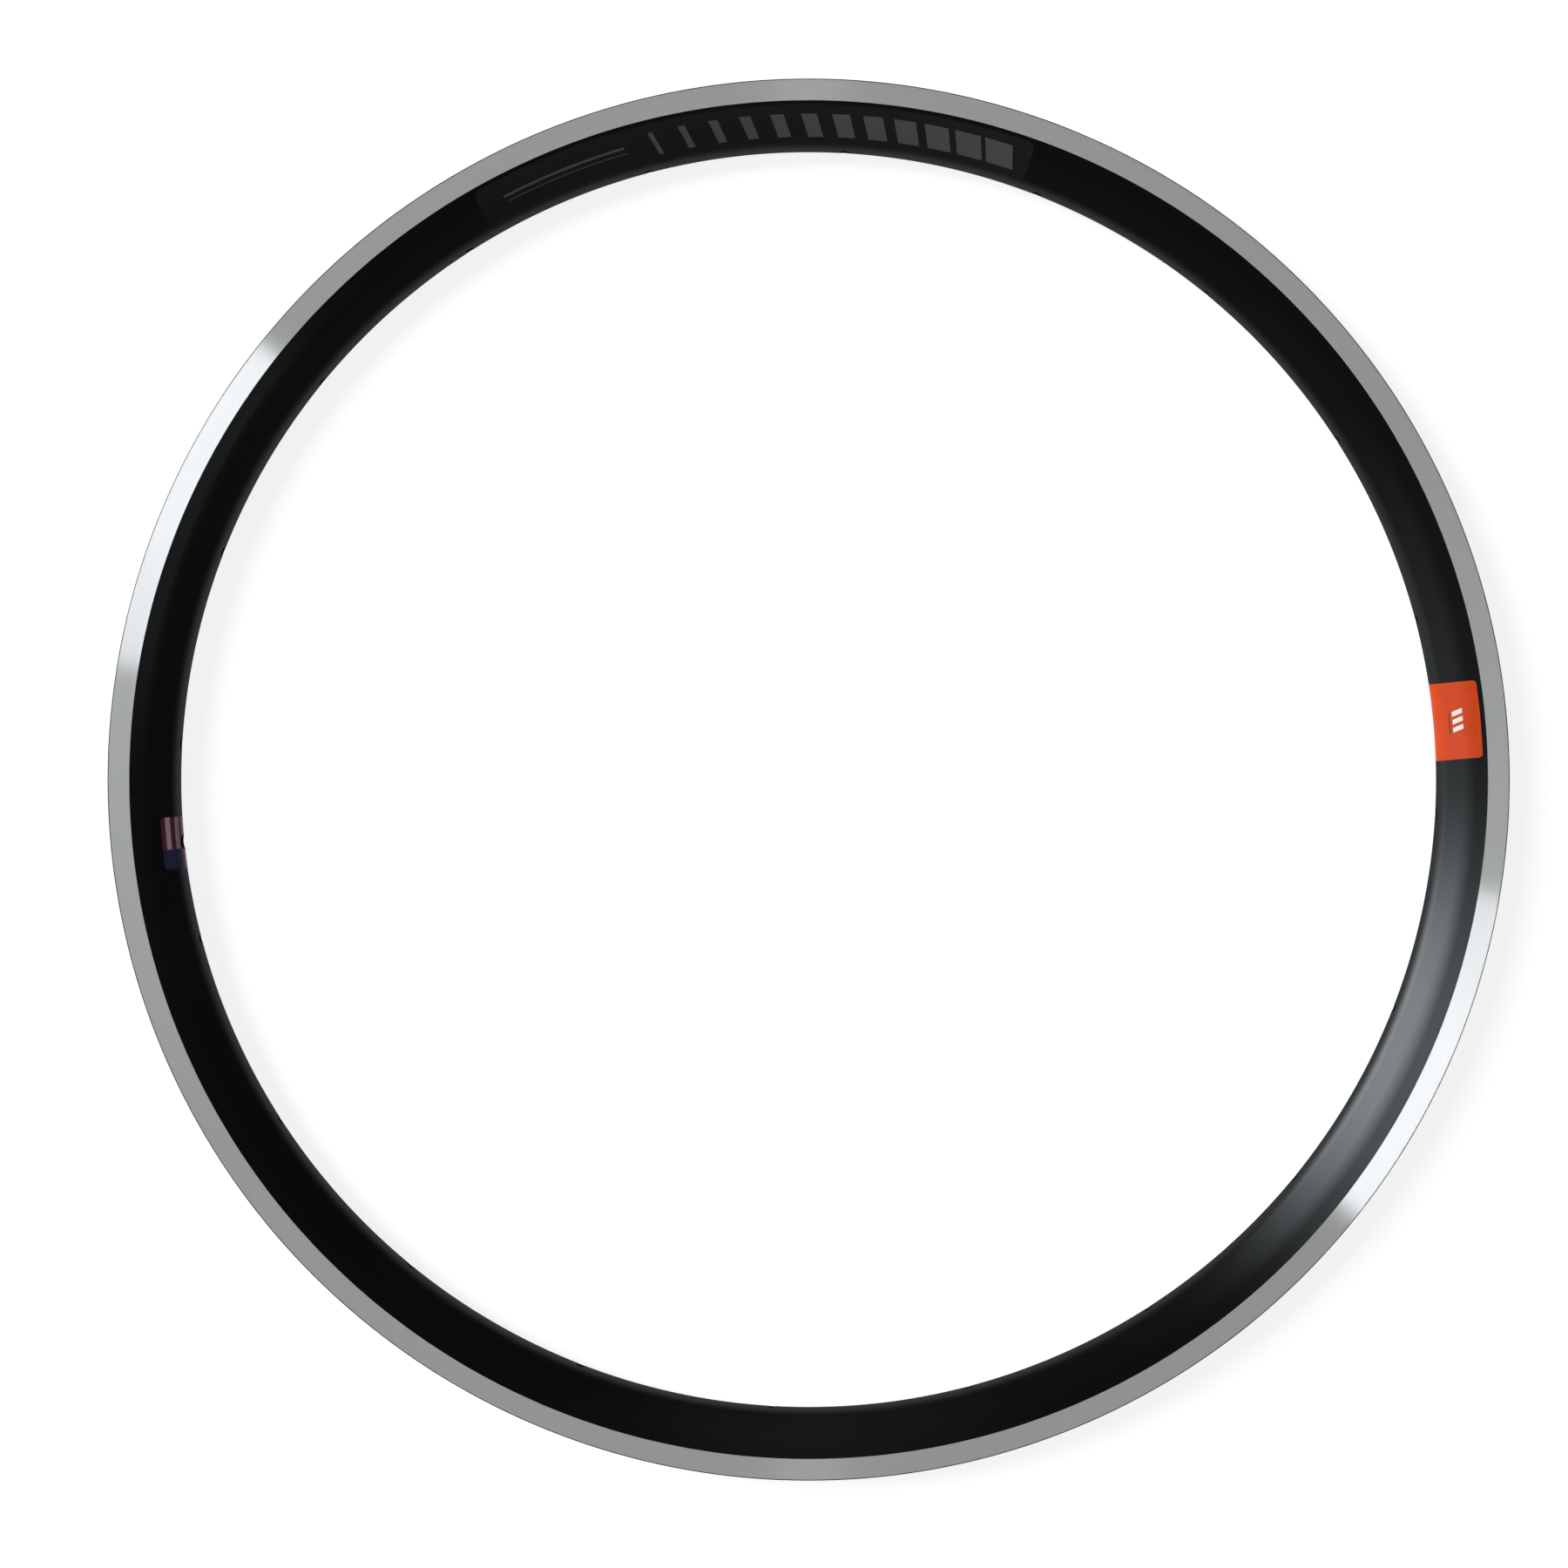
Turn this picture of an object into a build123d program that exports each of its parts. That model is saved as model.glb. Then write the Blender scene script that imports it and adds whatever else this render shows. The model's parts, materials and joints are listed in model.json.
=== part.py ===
from build123d import *
import os
from math import acos, atan2, cos, degrees, hypot, radians, sin

# A bicycle rim: one hollow aluminium hoop for a wired-on tyre and rim brakes, with three printed films on it.
# The wheel's axis is Z, the origin is the wheel's centre, and the rim lies flat.
# Lengths are in millimetres, and angles in degrees from +X towards +Y.

# The hoop
bead_seat_diameter = 622.0
flange_height = 6.0
section_depth = 31.0
outside_width = 24.0

# Brake walls and the hooks that hold the tyre's beads
brake_track_height = 9.9
brake_wall = 1.6
hook_lip = 0.9
hook_height = 1.8
hook_slope = 1.0

# Tyre bed: a shelf under each bead, and a well between them
shelf_width = 3.4
shelf_wall = 1.1
well_depth = 2.8
well_flank = 1.7
bridge_wall = 0.9
root_wall = 1.6

# Hollow body: a steep wall to each shoulder, a flank in from there, and a round nose with a thick bed for the spokes
shoulder_depth = 18.0
shoulder_width = 20.4
nose_round = 6.8
nose_flat_count = 3
side_wall = 0.75
spoke_bed_wall = 2.0

# Holes, all drilled along a spoke's line through the wheel's centre
spoke_count = 20
spoke_hole_diameter = 4.5
access_hole_diameter = 9.0
valve_hole_diameter = 6.5
valve_angle = 185.7

# Printed films, which follow the outside of the body with a bond of glue under them
film = 0.1
film_bond = 0.1
side_decal_angle = 95.1
side_decal_sweep_angle = 49.6
side_decal_gap = 1.7
side_decal_foot = 1.65
side_decal_corner = 4.0
joint_label_angle = 5.2
joint_label_width = 35.0
joint_label_gap = 2.1
joint_label_wrap = 3.5
joint_label_corner = 1.6
valve_label_width = 23.6
valve_label_reach = 8.3
valve_label_corner = 0.8

# Radii from the wheel's axis
bead_seat = bead_seat_diameter / 2
rim_edge = bead_seat + flange_height
nose = rim_edge - section_depth
nose_centre = nose + nose_round
track_foot = rim_edge - brake_track_height
shoulder = rim_edge - shoulder_depth
hook_foot = rim_edge - hook_height
hook_root = hook_foot - hook_slope
well_floor = bead_seat - well_depth
shelf_underside = bead_seat - shelf_wall

# Heights from the rim's middle plane
half_width = outside_width / 2
shoulder_height = shoulder_width / 2
bead_wall = half_width - brake_wall
hook_tip = bead_wall - hook_lip
shelf_edge = bead_wall - shelf_width
well_edge = shelf_edge - well_flank

# The flank runs from the shoulder and touches the nose's round: the angle at which it faces, from a spoke's line
shoulder_reach = hypot(shoulder - nose_centre, shoulder_height)
shoulder_bearing = degrees(atan2(shoulder_height, shoulder - nose_centre))
flank_facing = 180 - shoulder_bearing - degrees(acos(nose_round / shoulder_reach))

# The joint's label reaches from the nose to a gap under the brake track
joint_label_reach = track_foot - joint_label_gap - nose

# The ends of the extrusion meet opposite the valve hole, and the spokes share the rim out evenly between them
joint_angle = valve_angle - 180
spoke_pitch = 360 / spoke_count
first_spoke_angle = valve_angle + spoke_pitch / 2


def radial_plane(angle):
    """Plane through the wheel's axis: x runs outward at the angle, and y runs along the axis."""
    outward = Vector(1, 0, 0).rotate(Axis.Z, angle)
    return Plane((0, 0, 0), x_dir=outward, z_dir=outward.cross(Vector(0, 0, 1)))


def face_plane(angle, height=0.0):
    """Plane square to the wheel's axis: x runs outward at the angle."""
    return Plane((0, 0, height), x_dir=Vector(1, 0, 0).rotate(Axis.Z, angle), z_dir=(0, 0, 1))


def both_sides(points):
    """Points of the upper half of the section, then the same points of its lower half in reverse."""
    return points + [(radius, -height) for radius, height in reversed(points)]


def nose_corners(stand_off):
    """Corners of the upper half of the nose, whose round is taken in even flats with one square to the spokes."""
    turn = 2 * flank_facing / (nose_flat_count + 1)
    reach = (nose_round + stand_off) / cos(radians(turn / 2))
    facings = [radians(turn * (place + 0.5)) for place in reversed(range((nose_flat_count + 1) // 2))]
    return [(nose_centre - reach * cos(facing), reach * sin(facing)) for facing in facings]


def body_outside(stand_off):
    """Upper half of the body's outside, from the brake track's foot to the nose, stood off from its true place."""
    rise = stand_off / sin(radians(flank_facing))
    return [
        (track_foot, half_width + stand_off),
        (shoulder, shoulder_height + rise),
        *nose_corners(stand_off),
    ]


def film_over(angle, span):
    """A stretch of film of that span on the body, centred on the angle, joined to the part being built."""
    with BuildSketch(radial_plane(angle - span / 2)) as section:
        with BuildLine():
            Polyline(
                *both_sides(body_outside(film_bond)),
                *reversed(both_sides(body_outside(film_bond + film))),
                close=True,
            )
        make_face()
    revolve(section.sketch, axis=Axis.Z, revolution_arc=span)


def film_span(width):
    """Angle that a label of that width takes up on the nose, with a little to trim."""
    return degrees(2 * width / nose)


def label_outline(width, reach, corner):
    """Straight-sided outline of a label: its outer corners are round, and its inner end is past the nose."""
    RectangleRounded(2 * reach, width, corner, align=(Align.MAX, Align.CENTER))


def drill(diameter, depth):
    """A hole from the present place outward along a spoke's line."""
    Cylinder(
        diameter / 2,
        depth,
        rotation=(0, 90, 0),
        align=(Align.CENTER, Align.CENTER, Align.MIN),
        mode=Mode.SUBTRACT,
    )


os.makedirs("parts", exist_ok=True)

# Rim: one extruded section, rolled into a hoop, joined at its ends, machined on its tracks and drilled
with BuildPart() as rim:
    with BuildSketch(radial_plane(joint_angle)):
        with BuildLine():
            Polyline(
                *both_sides(
                    [
                        (well_floor, well_edge),
                        (bead_seat, shelf_edge),
                        (bead_seat, bead_wall),
                        (hook_root, bead_wall),
                        (hook_foot, hook_tip),
                        (rim_edge, hook_tip),
                        (rim_edge, half_width),
                        *body_outside(0),
                    ]
                ),
                close=True,
            )
        make_face()
        with BuildSketch(mode=Mode.SUBTRACT):
            with BuildLine():
                Polyline(
                    *both_sides(
                        [
                            (well_floor - bridge_wall, well_edge),
                            (shelf_underside, shelf_edge),
                            (shelf_underside, half_width - root_wall),
                            *body_outside(-side_wall)[1:],
                        ]
                    ),
                    close=True,
                )
            make_face()
            with Locations((nose, 0)):
                Rectangle(spoke_bed_wall, outside_width, align=(Align.MIN, Align.CENTER), mode=Mode.SUBTRACT)
    revolve(axis=Axis.Z)
    with PolarLocations(0, spoke_count, first_spoke_angle):
        drill(spoke_hole_diameter, shoulder)
    with PolarLocations(shoulder, spoke_count, first_spoke_angle):
        drill(access_hole_diameter, shoulder_depth)
    with PolarLocations(0, 1, valve_angle):
        drill(valve_hole_diameter, rim_edge)
rim.part.label = "rim"
export_step(rim.part, "parts/rim.step")

# Side decal: a dark film along the upper wall, with round corners
with BuildPart() as side_decal:
    film_over(side_decal_angle, side_decal_sweep_angle)
    with BuildSketch(face_plane(side_decal_angle)) as decal_outline:
        with BuildLine():
            outer = CenterArc((0, 0), track_foot - side_decal_gap, -side_decal_sweep_angle / 2, side_decal_sweep_angle)
            inner = CenterArc((0, 0), nose + side_decal_foot, -side_decal_sweep_angle / 2, side_decal_sweep_angle)
            Line(outer @ 0, inner @ 0)
            Line(outer @ 1, inner @ 1)
        make_face()
        fillet(decal_outline.vertices(), side_decal_corner)
    extrude(amount=outside_width, mode=Mode.INTERSECT)
side_decal.part.label = "side_decal"
export_step(side_decal.part, "parts/side_decal.step")

# Joint label: a straight-sided film over the joint, from the upper wall round the nose to its lower shoulder
with BuildPart() as joint_label:
    film_over(joint_label_angle, film_span(joint_label_width))
    with BuildSketch(face_plane(joint_label_angle, -joint_label_wrap)):
        with Locations((nose + joint_label_reach, 0)):
            label_outline(joint_label_width, joint_label_reach, joint_label_corner)
    extrude(amount=outside_width, mode=Mode.INTERSECT)
joint_label.part.label = "joint_label"
export_step(joint_label.part, "parts/joint_label.step")

# Valve label: a straight-sided film round the nose, with the valve hole punched through it
with BuildPart() as valve_label:
    film_over(valve_angle, film_span(valve_label_width))
    with BuildSketch(face_plane(valve_angle)):
        with Locations((nose + valve_label_reach, 0)):
            label_outline(valve_label_width, valve_label_reach, valve_label_corner)
    extrude(amount=outside_width, both=True, mode=Mode.INTERSECT)
    with PolarLocations(0, 1, valve_angle):
        drill(valve_hole_diameter, rim_edge)
valve_label.part.label = "valve_label"
export_step(valve_label.part, "parts/valve_label.step")
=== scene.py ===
import json
import math

import bpy
import numpy as np
from bpy.props import FloatProperty, FloatVectorProperty, PointerProperty
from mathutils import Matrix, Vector


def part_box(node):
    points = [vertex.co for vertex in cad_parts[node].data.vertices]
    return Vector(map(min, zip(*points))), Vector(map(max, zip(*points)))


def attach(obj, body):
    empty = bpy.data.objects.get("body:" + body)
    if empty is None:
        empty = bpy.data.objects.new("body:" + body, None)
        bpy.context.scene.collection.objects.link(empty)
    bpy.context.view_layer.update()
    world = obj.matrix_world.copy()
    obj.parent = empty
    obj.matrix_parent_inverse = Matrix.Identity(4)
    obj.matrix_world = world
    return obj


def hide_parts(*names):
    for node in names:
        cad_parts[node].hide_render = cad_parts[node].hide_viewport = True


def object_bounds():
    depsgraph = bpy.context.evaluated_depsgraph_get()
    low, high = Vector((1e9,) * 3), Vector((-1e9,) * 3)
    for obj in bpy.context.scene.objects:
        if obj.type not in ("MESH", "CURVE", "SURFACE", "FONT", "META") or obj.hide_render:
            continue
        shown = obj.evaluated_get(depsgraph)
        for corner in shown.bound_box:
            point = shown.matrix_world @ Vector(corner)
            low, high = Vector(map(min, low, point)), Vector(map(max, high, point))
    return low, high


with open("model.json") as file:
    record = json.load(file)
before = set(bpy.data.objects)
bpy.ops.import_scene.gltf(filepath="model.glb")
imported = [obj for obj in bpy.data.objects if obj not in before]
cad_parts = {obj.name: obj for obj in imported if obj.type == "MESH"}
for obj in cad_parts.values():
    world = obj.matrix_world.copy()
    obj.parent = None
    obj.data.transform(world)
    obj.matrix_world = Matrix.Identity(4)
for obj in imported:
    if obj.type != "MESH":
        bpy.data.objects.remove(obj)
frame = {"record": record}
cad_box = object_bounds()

bl_info = {
    "name": "Bicycle Rim",
    "version": (1, 0, 0),
    "blender": (4, 5, 0),
    "location": "View3D > Sidebar > Rim",
    "description": "Dresses a drilled aluminium bicycle rim with its finishes, films and studio",
    "category": "Add Mesh",
}

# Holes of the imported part: the way each one points and its size come from the record's mounts
MOUNTS = {mount["name"]: mount for mount in frame["record"]["mounts"]}
SPOKE_MOUNTS = [mount for name, mount in sorted(MOUNTS.items()) if name.startswith("spoke_hole")]
VALVE_MOUNT = MOUNTS["valve_hole"]
RIM_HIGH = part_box("rim")[1]

# Fineness of the hoop: patches round the holes, columns between them, and rows along the section
PATCH_STEPS = 10
PATCH_HALF_ANGLE = math.radians(1.0)
COLUMN_STEP = math.radians(1.15)
LONGEST_STRETCH = 0.006
CORNER_STEPS = 3
EDGE_STEPS = 4
FOOT_STEPS = 2
SHOULDER_STEPS = 6
NOSE_STEPS = 7
HOLLOW_STEPS = 1

# Half the height of the patch round a hole, on each drilled face, in metres
NOSE_PATCH = 0.0048
FLOOR_PATCH = 0.00495
BED_PATCH = 0.00357

# Roundings along the section's outside, from the well to the track's foot, in metres
WELL_ROUND = 0.0006
SHELF_ROUND = 0.0009
SEAT_ROUND = 0.0006
HOOK_ROUND = 0.0007
LIP_ROUND = 0.0008
EDGE_ROUND = 0.0005
FOOT_ROUND = 0.00008

# Roundings in the hollow, from the underside of the tyre bed to the spoke bed, in metres
CEILING_CORNER = 0.0005
ROOT_CORNER = 0.0006
WALL_CORNER = 0.004
NOSE_CORNER = 0.002
BED_CORNER = 0.0001

# Loops from a patch to a hole's wall: shares of the way to the round, and of the edge's quarter turn
EDGE_LOOPS = ((0.5, 0.0), (1.0, 0.0), (1.0, 0.33), (1.0, 0.67), (1.0, 1.0))

# The drilled faces, and the share of the edge's rounding that each one has
DRILLED_FACES = {"nose": 1.0, "bed": 0.7, "floor": 1.0, "ceiling": 0.7}

# Fineness of each film: round a corner, across the section, and along the hoop
DECAL_STEPS = (9, 18, 161)
JOINT_STEPS = (7, 40, 49)
VALVE_STEPS = (5, 10, 8)

# The floor's rings in metres, and its sides
FLOOR_RINGS = (0.5, 1.5, 4.0)
FLOOR_SIDES = 96

# Turns a row of radius, height and facing over to the other side of the middle plane
MIRROR = np.array((1, -1, 1, -1))


def bearing(mount):
    """Angle of a drilled hole round the wheel, in radians from +X towards +Y."""
    return math.atan2(mount["axis"][1], mount["axis"][0]) % math.tau


def hole_radius(mount):
    """Radius of a drilled hole, in metres."""
    return mount["dims"]["r_mm"] / 1000


def number(name, description, default, **options):
    """A number property."""
    return FloatProperty(name=name, description=description, default=default, **options)


def length(name, description, millimetres):
    """A length property with its default in millimetres."""
    return number(name, description, millimetres / 1000, min=0, unit="LENGTH", precision=5)


def angle(name, description, degrees):
    """An angle property with its default in degrees."""
    return number(name, description, math.radians(degrees), subtype="ANGLE")


def share(name, description, default):
    """A property from nought to one."""
    return number(name, description, default, min=0, max=1, subtype="FACTOR")


def colour(name, description, default):
    """A linear colour property."""
    limits = {"size": 3, "min": 0, "max": 1, "subtype": "COLOR"}
    return FloatVectorProperty(name=name, description=description, default=default, **limits)


class RimSizes(bpy.types.PropertyGroup):
    """Sizes of the rim's section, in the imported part's frame."""

    rim_edge: length("Outside radius", "Radius of the rim's outer edge", RIM_HIGH[0] * 1000)
    half_width: length("Half width", "Height of the brake track over the middle plane", RIM_HIGH[2] * 1000)
    section_depth: length("Section depth", "From the outer edge to the nose", 31.0)
    track_height: length("Track height", "Radial height of the machined brake track", 9.9)
    track_step: length("Track step", "How far the black wall is set back from the track", 0.14)
    flange_height: length("Flange height", "From the bead seat to the outer edge", 6.0)
    brake_wall: length("Brake wall", "Thickness of the wall behind the track", 1.6)
    hook_lip: length("Hook lip", "How far the hook stands in from the brake wall", 0.9)
    hook_height: length("Hook height", "Radial height of the hook's tip", 1.8)
    hook_slope: length("Hook slope", "Radial height of the slope under the hook", 1.0)
    shelf_width: length("Shelf width", "Width of the shelf under each bead", 3.4)
    shelf_wall: length("Shelf wall", "Thickness of the shelf", 1.1)
    well_depth: length("Well depth", "From the bead seat down to the well's floor", 2.8)
    well_flank: length("Well flank", "Width of the slope beside the well", 1.7)
    bridge_wall: length("Bridge wall", "Thickness of the well's floor", 0.9)
    root_wall: length("Root wall", "Thickness of the body's wall under the shelf", 1.6)
    shoulder_depth: length("Shoulder depth", "From the outer edge to the wall's shoulder", 18.0)
    shoulder_width: length("Shoulder width", "Width across the two shoulders", 20.4)
    nose_round: length("Nose round", "Radius of the nose", 6.8)
    side_wall: length("Side wall", "Thickness of the flank and nose", 0.75)
    spoke_bed: length("Spoke bed", "Thickness of the nose under the spokes", 2.0)
    access_radius: length("Access hole radius", "Radius of the hole over each spoke hole", 4.5)
    hole_edge: length("Hole edge", "Rounding of the drilled edges", 0.3)
    shoulder_round: length("Shoulder round", "Radius of the bend at the shoulder", 30.0)


class FilmSizes(bpy.types.PropertyGroup):
    """Sizes of the printed films on the body."""

    lift: length("Lift", "Height of a film's face over the metal", 0.1)
    glue: length("Glue", "Height of a film's back over the metal", 0.02)
    punch_gap: length("Punch gap", "From the valve hole's round edge to the hole in its label", 0.08)
    decal_outer: length("Decal outer radius", "Radius of the side decal's outer edge", 305.4)
    decal_inner: length("Decal inner radius", "Radius of the side decal's inner edge", 287.7)
    decal_corner: length("Decal corner", "Corner radius of the side decal", 4.0)
    decal_angle: angle("Decal angle", "Middle of the side decal", 95.1)
    decal_span: angle("Decal span", "Angle from end to end", 49.6)
    joint_angle: angle("Joint label angle", "Middle of the joint label", 5.2)
    joint_width: length("Joint label width", "Width between the straight edges", 35.0)
    joint_outer: length("Joint label outer radius", "Radius of the label's outer edge", 305.0)
    joint_wrap: length("Joint label wrap", "How far the label goes past the middle plane", 3.5)
    joint_corner: length("Joint label corner", "Corner radius of the joint label", 1.6)
    valve_width: length("Valve label width", "Width between the straight edges", 23.6)
    valve_outer: length("Valve label outer radius", "Radius of the label's ends", 294.3)
    valve_corner: length("Valve label corner", "Corner radius of the valve label", 0.8)


class Finishes(bpy.types.PropertyGroup):
    """Colours and finishes, in linear values."""

    track_metal: colour("Track metal", "Machined aluminium of the brake tracks", (0.72, 0.72, 0.725))
    track_roughness: share("Track roughness", "Roughness of the metal under the turning marks", 0.8)
    anodise: colour("Anodise", "Black pigment of the body", (0.003, 0.0031, 0.0034))
    anodise_sheen: colour("Anodise sheen", "Colour that the satin body mirrors", (0.051, 0.055, 0.0566))
    anodise_roughness: share("Anodise roughness", "Roughness of the satin body", 0.334)
    dark_film: colour("Dark film", "Ground of the side decal", (0.0068, 0.0069, 0.0073))
    grey_print: colour("Grey print", "Blocks and lines on the side decal", (0.062, 0.064, 0.068))
    orange: colour("Orange", "Ground of the joint label", (0.56, 0.056, 0.011))
    white_print: colour("White print", "Bars on the joint label", (0.72, 0.70, 0.66))
    dark_print: colour("Dark print", "Line on the joint label", (0.02, 0.02, 0.025))
    red_print: colour("Red print", "Red stripes of the valve label", (0.092, 0.014, 0.023))
    pale_print: colour("Pale print", "Pale stripes of the valve label", (0.29, 0.24, 0.262))
    blue_print: colour("Blue print", "Block on the valve label", (0.020, 0.019, 0.055))
    fleck_print: colour("Fleck print", "Flecks in the valve label's ink", (0.03, 0.02, 0.025))


class StageSizes(bpy.types.PropertyGroup):
    """Camera, lights and floor. An azimuth is from +X towards +Y."""

    camera_height: length("Camera height", "Over the rim's middle plane", 1461.0)
    lens: number("Lens", "Focal length in millimetres", 73.6, min=1)
    shift_right: number("Shift right", "Frame shift to the right", -0.0157)
    shift_up: number("Shift up", "Frame shift upward", -0.0028)
    window_azimuth: angle("Window azimuth", "Middle of the window", 156)
    window_spread: angle("Window spread", "Half the window's width", 14.5)
    window_glow: number("Window glow", "Brightness of the window", 17.2, min=0)
    sill_glow: number("Sill glow", "Brightness under the window", 5.5, min=0)
    curtain_glow: number("Curtain glow", "Brightness of the curtain beside the window", 2.2, min=0)
    ceiling_power: number("Ceiling power", "Power of the narrow lamp overhead", 6.0, unit="POWER")
    floor_radius: length("Floor radius", "Radius of the floor", 14000.0)


# Meshes


class Skin:
    """A mesh in the making: points, the way each one faces, and quads with their finishes."""

    def __init__(self):
        self.points = []
        self.facings = []
        self.uvs = []
        self.quads = []
        self.finishes = []
        self.count = 0

    def add_points(self, points, facings, uvs=None):
        """Adds an array of points of any shape and returns their numbers in that shape."""
        points = np.asarray(points, float)
        facings = np.asarray(facings, float).reshape(-1, 3)
        added = len(facings)
        self.points.append(points.reshape(-1, 3))
        self.facings.append(facings / np.linalg.norm(facings, axis=1, keepdims=True))
        self.uvs.append(np.zeros((added, 2)) if uvs is None else np.asarray(uvs, float).reshape(-1, 2))
        numbers = np.arange(self.count, self.count + added).reshape(points.shape[:-1])
        self.count += added
        return numbers

    def places(self, numbers):
        """The places of points, by their numbers."""
        return np.concatenate(self.points)[numbers]

    def add_quads(self, a, b, c, d, finish=0):
        """Adds quads from four arrays of point numbers, of one finish or each of its own."""
        quads = np.stack([np.ravel(a), np.ravel(b), np.ravel(c), np.ravel(d)], axis=1)
        self.quads.append(quads)
        self.finishes.append(np.broadcast_to(np.ravel(finish), len(quads)))

    def join_loops(self, first, second):
        """Joins two closed loops of as many points with a band of quads."""
        self.add_quads(first, np.roll(first, -1), np.roll(second, -1), second)

    def to_object(self, name, materials):
        """Makes the object, with its quads turned to face the way that their points do."""
        points = np.concatenate(self.points)
        facings = np.concatenate(self.facings)
        uvs = np.concatenate(self.uvs)
        quads = np.concatenate(self.quads)
        finishes = np.concatenate(self.finishes)
        first, second, third, fourth = (points[corner] for corner in quads.T)
        across = np.cross(third - first, fourth - second)
        wrong = np.einsum("ij,ij->i", across, facings[quads].sum(axis=1)) < 0
        quads[wrong] = quads[wrong][:, ::-1]
        used = np.unique(quads)
        renumber = np.full(len(points), -1)
        renumber[used] = np.arange(len(used))
        quads = renumber[quads]
        mesh = bpy.data.meshes.new(name)
        mesh.from_pydata(points[used].tolist(), [], quads.tolist())
        for material in materials:
            mesh.materials.append(material)
        mesh.polygons.foreach_set("material_index", finishes.astype(np.int32))
        mesh.polygons.foreach_set("use_smooth", np.ones(len(quads), bool))
        layer = mesh.uv_layers.new(name="print")
        layer.data.foreach_set("uv", uvs[used][quads.ravel()].ravel())
        mesh.normals_split_custom_set_from_vertices(facings[used].tolist())
        mesh.update()
        piece = bpy.data.objects.new(name, mesh)
        bpy.context.scene.collection.objects.link(piece)
        return piece


def round_outline(corners):
    """Rounds the corners of an open outline in a section.

    A corner is (radius, height, rounding, steps). Each row of the result is a point's radius and height
    and the way that it faces, to the right of the outline's run.
    """
    places = np.array([corner[:2] for corner in corners])
    runs = np.diff(places, axis=0)
    runs /= np.linalg.norm(runs, axis=1, keepdims=True)
    rows = [(*places[0], runs[0][1], -runs[0][0])]
    for number in range(1, len(corners) - 1):
        before, after = runs[number - 1], runs[number]
        rounding, steps = corners[number][2:]
        turn = math.atan2(before[0] * after[1] - before[1] * after[0], before @ after)
        start = places[number] - before * rounding * math.tan(abs(turn) / 2)
        side = math.copysign(1, turn)
        centre = start + side * rounding * np.array((-before[1], before[0]))
        for bend in (turn * step / steps for step in range(steps + 1)):
            run_out = before[0] * math.cos(bend) - before[1] * math.sin(bend)
            run_up = before[0] * math.sin(bend) + before[1] * math.cos(bend)
            place = centre - side * rounding * np.array((-run_up, run_out))
            rows.append((*place, run_up, -run_out))
    rows.append((*places[-1], runs[-1][1], -runs[-1][0]))
    return np.array(rows)


def between(rows, most):
    """Adds points to straight stretches longer than a given length."""
    filled = [rows[0]]
    for first, second in zip(rows[:-1], rows[1:]):
        pieces = max(1, math.ceil(np.hypot(*(second[:2] - first[:2])) / most))
        filled += [first + (second - first) * step / pieces for step in range(1, pieces + 1)]
    return np.array(filled)


def mirrored(rows):
    """The upper half of a closed section, then its mirror image below the middle plane."""
    return np.concatenate([rows, rows[-2:0:-1] * MIRROR])


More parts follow.
